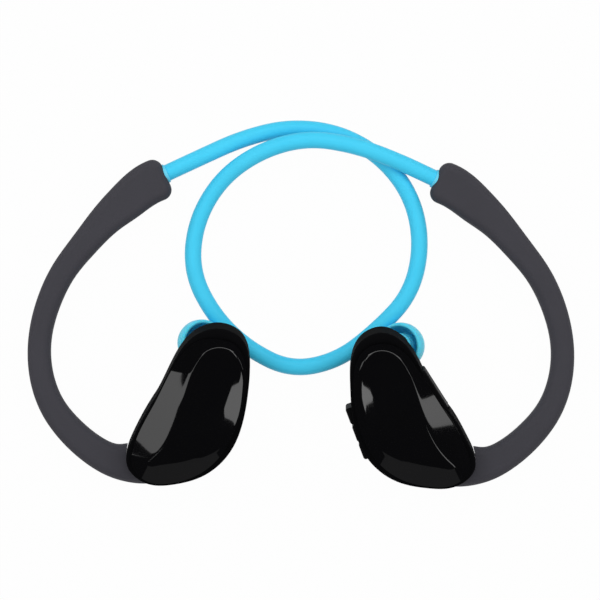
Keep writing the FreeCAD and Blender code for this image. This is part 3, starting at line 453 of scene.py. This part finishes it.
@dataclass
class Pod:
    """The frame that a pod's pieces share: y up along the pod, z from the ear to the cover.

    Lengths are in millimetres, and the tilt is in degrees.
    """

    side: Side
    x: float = 29.0
    y: float = -46.5
    z: float = 1.6
    tilt: float = 15.5
    left_lift: float = 0.8

    def placement(self) -> Matrix:
        """Find the pod's frame; the left one is the right one mirrored.

        Returns:
            Where the frame stands, in millimetres.
        """
        lift = 0.0 if self.side is Side.RIGHT else self.left_lift
        place = Matrix.Translation((self.side.value * self.x, self.y + lift, self.z))
        mirror = Matrix.Diagonal((self.side.value, 1.0, 1.0, 1.0))
        return place @ Matrix.Rotation(math.radians(self.tilt), 4, "X") @ mirror


class RimPoint(NamedTuple):
    """One point of the outline of the glossy cover, with the cover's form there, in millimetres."""

    x: float
    y: float
    # How far the cover stands back from the housing, and how much fuller the left pod is.
    stand_back: float
    fuller: float
    # The slope's width and its degrees, and the facet's width.
    slope: float
    degrees: float
    facet: float


@dataclass
class OuterCover:
    """The glossy cover: a low wall, a steep slope, a gentle facet and a crowned field, with soft creases.

    Lengths are in millimetres, in the pod's frame.
    """

    pod: Pod
    # Height of the wall's foot, the least that the wall rises, and the top of the field.
    base: float = 8.9
    least_wall: float = 0.2
    crown: float = 14.1
    crown_x: float = -1.0
    crown_y: float = 19.0
    crown_radius: float = 110.0
    facet_degrees: float = 15.0
    # How thick the shell is.
    roof: float = 1.6
    segments: int = 240
    # Where the slope's rings lie from the brim to its bend, and the field's rings from the middle out.
    slope_shares: tuple[float, ...] = (0.04, 0.25, 0.5, 0.75)
    field_shares: tuple[float, ...] = (0.85, 0.68, 0.5, 0.32, 0.15)
    # How far the bends reach: shares of the slope and the facet beside them, and millimetres of field.
    bend_in_slope: float = 0.2
    bend_in_facet: float = 0.3
    bend_in_field: float = 1.3
    crest_rings: int = 9
    crease_rings: int = 8
    outline: tuple[RimPoint, ...] = (
        RimPoint(8.3, 23.4, 0.45, 1.3, 5.2, 34.0, 0.5), RimPoint(2.0, 34.1, 0.6, 2.1, 2.2, 42.0, 0.5),
        RimPoint(-2.0, 40.0, 1.5, 1.5, 1.5, 50.0, 0.5), RimPoint(-7.3, 42.9, 2.5, 0.3, 1.3, 52.0, 0.5),
        RimPoint(-13.6, 40.3, 2.0, 0.0, 1.4, 50.0, 0.8), RimPoint(-15.9, 34.7, 1.1, -0.4, 1.5, 42.0, 2.2),
        RimPoint(-16.1, 27.1, 0.8, -0.8, 1.6, 38.0, 4.3), RimPoint(-15.2, 17.7, 1.5, -1.4, 1.8, 34.0, 4.8),
        RimPoint(-11.8, 8.9, 2.1, -1.5, 3.0, 26.0, 3.2), RimPoint(-4.1, 2.3, 1.9, -0.9, 4.8, 21.0, 1.6),
        RimPoint(4.6, 0.3, 1.4, -0.2, 5.4, 18.0, 1.0), RimPoint(12.0, 0.9, 1.5, 0.0, 4.8, 18.0, 0.6),
        RimPoint(16.8, 5.8, 1.6, 0.0, 3.8, 22.0, 0.4), RimPoint(14.9, 12.9, 0.9, 0.5, 5.4, 28.0, 0.4),
    )

    def on_dome(self, flat: np.ndarray) -> np.ndarray:
        """Raise points to the crowned field.

        Args:
            flat: x and y of each point.

        Returns:
            x, y and z of each point.
        """
        middle = np.array([self.crown_x, self.crown_y])
        away = ((flat - middle) ** 2).sum(axis=1, keepdims=True)
        return np.column_stack([flat, self.crown - away / (2 * self.crown_radius)])

    @staticmethod
    def bend(before: np.ndarray, corner: np.ndarray, after: np.ndarray, count: int) -> list[np.ndarray]:
        """Turn smoothly round a crease.

        Args:
            before: the ring where the bend starts.
            corner: the ring along the crease itself.
            after: the ring where the bend ends.
            count: how many rings to return, with the first and the last.

        Returns:
            The rings of the bend, in order.
        """
        return [before * (1 - u) ** 2 + corner * 2 * u * (1 - u) + after * u**2
                for u in np.linspace(0.0, 1.0, count)]

    def rings(self) -> list[np.ndarray]:
        """Lay out the outer skin.

        Returns:
            Its rings, from the foot of the wall to near the middle of the field.
        """
        x, y, stand_back, fuller, slope, degrees, facet = np.array(self.outline).T[..., None]
        fuller = fuller * (self.pod.side is Side.LEFT)
        edge = np.hstack([x, y])
        edge = edge + inward(edge) * (stand_back - fuller)
        loop = smooth_loop(np.hstack([edge, slope + fuller, degrees, facet]), self.segments)
        edge, slope, degrees, facet = loop[:, :2], loop[:, 2:3], loop[:, 3:4], loop[:, 4:5]
        inside = inward(edge)
        crease = self.on_dome(edge + inside * (slope + facet))
        crest_height = crease[:, 2:] - facet * math.tan(math.radians(self.facet_degrees))
        crest = np.hstack([edge + inside * slope, crest_height])
        brim_height = crest_height - slope * np.tan(np.radians(degrees))
        brim = np.hstack([edge, np.maximum(brim_height, self.base + self.least_wall)])
        foot = np.hstack([edge, np.full_like(slope, self.base)])
        middle = np.array([self.crown_x, self.crown_y])
        towards = middle - crease[:, :2]
        towards = towards / np.linalg.norm(towards, axis=1, keepdims=True)
        field_edge = self.on_dome(crease[:, :2] + towards * self.bend_in_field)
        slope_end = crest + (brim - crest) * self.bend_in_slope
        facet_start = crest + (crease - crest) * self.bend_in_facet
        facet_end = crease + (crest - crease) * self.bend_in_facet
        return [
            foot, brim,
            *(brim + (slope_end - brim) * share for share in self.slope_shares),
            *self.bend(slope_end, crest, facet_start, self.crest_rings),
            *self.bend(facet_end, crease, field_edge, self.crease_rings),
            *(self.on_dome(middle + (field_edge[:, :2] - middle) * share) for share in self.field_shares),
        ]

    def build(self) -> bpy.types.Object:
        """Make the cover as a closed shell, open towards the housing, with a crisp brim.

        Returns:
            The finished piece.
        """
        foot, *others = [[Vector(place) for place in ring] for ring in self.rings()]
        shape = bmesh.new()
        ring = next_ring(shape, first_ring(shape, foot), others[0])
        brim = set(ring)
        for places in others[1:]:
            ring = next_ring(shape, ring, places)
        close_ring(shape, ring, Vector((self.crown_x, self.crown_y, self.crown)))
        for edge in shape.edges:
            edge.smooth = not (edge.verts[0] in brim and edge.verts[1] in brim)
        bmesh.ops.recalc_face_normals(shape, faces=shape.faces)
        bmesh.ops.solidify(shape, geom=shape.faces[:], thickness=self.roof)
        prefix = self.pod.side.prefix
        cover = finished_object(shape, f"{prefix}_cover_shell", self.pod.placement())
        return finish_piece(cover, COVER_LACQUER, ROOT, [f"{prefix}_outer_cover"])


@dataclass
class EarTip:
    """The silicone mushroom: a core on the nozzle and a thin umbrella folded back over it.

    Lengths are in millimetres, in the pod's frame.
    """

    pod: Pod
    nozzle_x: float = -4.9
    nozzle_y: float = 36.9
    # Which way the nozzle points, and how far along it the tip starts.
    out: tuple[float, float, float] = (0.42, -0.242, -0.8745)
    gap: float = 3.6
    steps: int = 96
    # Radius and height along the nozzle, from the bore's pod end round the core, the umbrella and back.
    profile: tuple[tuple[float, float], ...] = (
        (2.55, 0.1), (2.65, 0.0), (3.25, 0.0), (3.35, 0.1), (3.35, 1.2), (3.25, 1.4), (3.25, 1.8),
        (3.35, 2.0), (3.35, 5.9), (3.42, 6.35), (3.6, 6.5), (3.85, 6.3), (4.15, 5.6), (4.6, 4.7),
        (5.0, 3.75), (5.35, 2.6), (5.5, 1.5), (5.45, 0.75), (5.3, 0.6), (5.25, 0.4), (5.3, 0.15),
        (5.5, 0.02), (5.8, 0.0), (6.0, 0.12), (6.12, 0.4), (6.18, 0.9), (6.2, 1.7), (6.13, 2.8),
        (5.95, 3.6), (5.65, 4.5), (5.2, 5.5), (4.65, 6.4), (4.1, 6.95), (3.6, 7.3), (3.1, 7.47),
        (2.8, 7.5), (2.62, 7.44), (2.55, 7.3),
    )

    def placement(self) -> Matrix:
        """Find the nozzle's frame, with z out along it towards the ear.

        Returns:
            Where the tip's pod end stands, in millimetres.
        """
        foot = Matrix.Translation((self.nozzle_x, self.nozzle_y, 0.0))
        return self.pod.placement() @ foot @ facing(self.out) @ Matrix.Translation((0, 0, self.gap))

    def build(self) -> bpy.types.Object:
        """Turn the tip from its profile.

        Returns:
            The finished piece.
        """
        prefix = self.pod.side.prefix
        skin = turned(self.profile, cuts=1, steps=self.steps)
        tip = finished_object(skin, f"{prefix}_tip_mushroom", self.placement())
        return finish_piece(tip, TIP_SILICONE, ROOT, [f"{prefix}_ear_tip"])


# ---------------------------------------------------------------- neckband


@dataclass
class Neckband:
    """The silicone tube from the left hook's tail, once round the loop, to the right hook's tail."""

    diameter: float = 4.4 * MM
    length: float = 283.5 * MM
    # A curve of the third order touches each run of the route at its middle.
    order: int = 3
    section_resolution: int = 8
    points_per_run: int = 16
    route_mm: tuple[tuple[float, float, float], ...] = (
        (-45.1, 30.4, 3.5), (-39.2, 33.0, 3.5), (-27.5, 38.5, 2.75), (-15.5, 44.0, 2.25),
        (-3.0, 47.0, 2.25), (10.0, 45.5, 2.25), (21.5, 39.0, 2.25), (29.5, 28.5, 2.25),
        (32.0, 15.5, 2.25), (29.0, 2.5, 2.25), (19.8, -7.1, 2.25), (9.8, -14.8, 2.25),
        (-2.5, -17.4, 2.25), (-13.9, -11.9, 2.25), (-23.0, -3.2, 2.25), (-29.0, 8.5, 2.25),
        (-28.0, 21.5, 2.25), (-21.5, 33.0, 3.25), (-11.0, 40.5, 6.75), (1.5, 44.0, 7.5),
        (14.5, 42.0, 7.5), (26.5, 37.5, 5.25), (38.0, 32.0, 3.5), (44.0, 29.5, 3.5),
    )

    def build(self) -> bpy.types.Object:
        """Lay the tube as one smooth curve with a round section.

        Returns:
            The finished piece.
        """
        curve = bpy.data.curves.new("neckband_tube", "CURVE")
        curve.dimensions = "3D"
        curve.bevel_depth = self.diameter / 2
        curve.bevel_resolution = self.section_resolution
        curve.resolution_u = self.points_per_run
        curve.use_fill_caps = True
        spline = curve.splines.new("NURBS")
        spline.points.add(len(self.route_mm) - 1)
        for point, place in zip(spline.points, self.route_mm):
            point.co = (*(c * MM for c in place), 1.0)
        spline.order_u = self.order
        spline.use_endpoint_u = True
        tube = bpy.data.objects.new("neckband_tube", curve)
        bpy.context.scene.collection.objects.link(tube)
        finish_piece(tube, BAND_SILICONE, ROOT, ["neckband"])
        return tube


@dataclass
class BandCollar:
    """The thin silicone ring that closes a hook's mouth round the band; lengths in millimetres."""

    side: Side
    hole: float = 2.25
    outside: float = 2.55
    length: float = 1.2
    round_over: float = 0.1
    steps: int = 64

    def way_out(self) -> tuple[float, float, float]:
        """The direction in which the band leaves the hook."""
        return (-0.8949, 0.4263, 0.1321) if self.side is Side.RIGHT else (0.9035, 0.4247, -0.0579)

    def profile(self) -> list[tuple[float, float]]:
        """Radius and height of the section's corners, with the two outer ones taken off."""
        half, soft = self.length / 2, self.round_over
        return [(self.hole, -half), (self.outside - soft, -half), (self.outside, soft - half),
                (self.outside, half - soft), (self.outside - soft, half), (self.hole, half)]

    def build(self) -> bpy.types.Object:
        """Turn the ring and set it in the hook's mouth.

        Returns:
            The finished piece.
        """
        node = f"{self.side.prefix}_band_collar"
        low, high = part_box(node)
        place = Matrix.Translation((low + high) / (2 * MM)) @ facing(self.way_out())
        skin = turned(self.profile(), cuts=2, steps=self.steps)
        ring = finished_object(skin, f"{self.side.prefix}_mouth_ring", place)
        return finish_piece(ring, COLLAR_SILICONE, ROOT, [node])


# ---------------------------------------------------------------- studio


@dataclass(frozen=True)
class Softbox:
    """A rectangular studio lamp that faces the headset; angles in degrees, lengths in metres."""

    name: str
    azimuth: float
    elevation: float
    width: float
    height: float
    radiance: float
    roll: float = 0.0
    distance: float = 0.6

    def build(self, target: Vector) -> None:
        """Place the lamp on its arc round a target, with the power that gives its radiance.

        Args:
            target: the point that the lamp faces.
        """
        lamp = bpy.data.lights.new(self.name, "AREA")
        lamp.shape = "RECTANGLE"
        lamp.size, lamp.size_y = self.width, self.height
        lamp.energy = self.radiance * math.pi * self.width * self.height
        holder = bpy.data.objects.new(self.name, lamp)
        bpy.context.scene.collection.objects.link(holder)
        turn, lift = math.radians(self.azimuth), math.radians(self.elevation)
        out = Vector((math.cos(turn) * math.cos(lift), math.sin(turn) * math.cos(lift), math.sin(lift)))
        holder.location = target + out * self.distance
        holder.rotation_mode = "QUATERNION"
        spin = Quaternion((0.0, 0.0, 1.0), math.radians(self.roll))
        holder.rotation_quaternion = out.to_track_quat("Z", "Y") @ spin


@dataclass
class Studio:
    """Pale floor, soft light and the camera straight above; lengths in metres."""

    camera_height: float = 1.5
    sensor_mm: float = 36.0
    shown_width: float = 0.159
    centre: tuple[float, float] = (-0.00027, 0.00119)
    lamp_target: tuple[float, float, float] = (0.0, 0.0, 0.01)
    # Strength of the even light, and how much of it comes from below the horizon and from straight above.
    ambient: float = 0.62
    ambient_below: float = 0.45
    ambient_above: float = 1.35
    # What gloss sees: white along the horizon, which turns dark this far up, and dark overhead.
    horizon_top: float = 0.06
    overhead: tuple[float, float, float, float] = (0.02, 0.02, 0.022, 1.0)
    floor_half: float = 3.0
    paper_grey: float = 0.55
    paper_white: float = 0.98
    # The lamps at the sides show as patches and lines in the covers' gloss, the strip lights everything from
    # the back, and the low one in front turns the covers' lower slopes dark grey.
    boxes: tuple[Softbox, ...] = (
        Softbox("softbox_right", -3.0, 27.2, 0.25, 0.055, 1.15, roll=53.0),
        Softbox("softbox_left", 180.0, 30.0, 0.16, 0.21, 0.95),
        Softbox("crest_right", 16.0, 55.0, 0.26, 0.16, 1.7),
        Softbox("crest_left", 164.0, 55.0, 0.26, 0.16, 1.7),
        Softbox("facet_right", -45.0, 44.5, 0.15, 0.10, 1.3),
        Softbox("facet_left", 227.5, 46.5, 0.045, 0.06, 1.7),
        Softbox("strip_back", 90.0, 48.0, 1.30, 0.20, 1.5),
        Softbox("softbox_low_front", 270.0, 18.0, 0.50, 0.20, 0.09),
    )

    def build(self) -> None:
        """Set up everything that isn't the headset."""
        self.build_camera()
        self.build_world()
        self.build_floor()
        for box in self.boxes:
            box.build(Vector(self.lamp_target))

    def build_camera(self) -> None:
        """Hang a long lens that looks straight down."""
        camera = bpy.data.cameras.new("camera")
        camera.sensor_width = self.sensor_mm
        camera.lens = self.sensor_mm * self.camera_height / self.shown_width
        camera.clip_start, camera.clip_end = 0.1, 10.0
        holder = bpy.data.objects.new("camera", camera)
        bpy.context.scene.collection.objects.link(holder)
        holder.location = (*self.centre, self.camera_height)
        bpy.context.scene.camera = holder

    def build_world(self) -> None:
        """Light matte surfaces evenly, and show gloss a pale horizon under a dark sky."""
        world = bpy.data.worlds.new("studio")
        bpy.context.scene.world = world
        world.use_nodes = True
        tree = world.node_tree
        tree.nodes.clear()
        direction = add_node(tree, "ShaderNodeTexCoord").outputs["Generated"]
        height = add_node(tree, "ShaderNodeSeparateXYZ", {"Vector": direction}).outputs["Z"]
        seen = add_node(tree, "ShaderNodeValToRGB", {"Fac": height})
        stops = seen.color_ramp.elements
        stops[0].position, stops[0].color = 0.0, WHITE
        stops[1].position, stops[1].color = self.horizon_top, self.overhead
        top_light = add_node(tree, "ShaderNodeMapRange", {
            "Value": height, "From Min": -0.2, "From Max": 1.0,
            "To Min": self.ambient_below * self.ambient, "To Max": self.ambient_above * self.ambient})
        even = add_node(tree, "ShaderNodeBackground", {
            "Color": WHITE, "Strength": top_light.outputs["Result"]})
        picture = add_node(tree, "ShaderNodeBackground", {"Color": seen.outputs["Color"], "Strength": 1.0})
        both = add_node(tree, "ShaderNodeMixShader", {
            0: seen_directly(tree), 1: even.outputs[0], 2: picture.outputs[0]})
        add_node(tree, "ShaderNodeOutputWorld", {"Surface": both.outputs[0]})

    def build_floor(self) -> None:
        """Lay a white table top: seen as white paper that still takes the headset's soft shadow."""
        mesh = bpy.data.meshes.new("table_top")
        shape = bmesh.new()
        bmesh.ops.create_grid(shape, x_segments=1, y_segments=1, size=self.floor_half)
        shape.to_mesh(mesh)
        shape.free()
        floor = bpy.data.objects.new("table_top", mesh)
        bpy.context.scene.collection.objects.link(floor)
        material = bpy.data.materials.new("matte_white_paper")
        material.use_nodes = True
        tree = material.node_tree
        tree.nodes.clear()
        share = add_node(tree, "ShaderNodeMath", {
            0: seen_directly(tree), 1: self.paper_white}, operation="MULTIPLY")
        grey = self.paper_grey
        paper = add_node(tree, "ShaderNodeBsdfDiffuse", {"Color": (grey, grey, grey, 1.0)})
        white = add_node(tree, "ShaderNodeEmission", {"Color": WHITE, "Strength": 1.0})
        both = add_node(tree, "ShaderNodeMixShader", {
            0: share.outputs[0], 1: paper.outputs[0], 2: white.outputs[0]})
        add_node(tree, "ShaderNodeOutputMaterial", {"Surface": both.outputs[0]})
        mesh.materials.append(material)


def main() -> None:
    """Build the headset's looks in order, then the studio round it."""
    logging.basicConfig(level=logging.INFO, format="%(name)s: %(message)s")
    bpy.context.scene.view_settings.view_transform = "Standard"
    dress_nodes()
    Neckband().build()
    for side in Side:
        pod = Pod(side)
        OuterCover(pod).build()
        EarTip(pod).build()
        BandCollar(side).build()
    Studio().build()


if __name__ == "__main__":
    main()
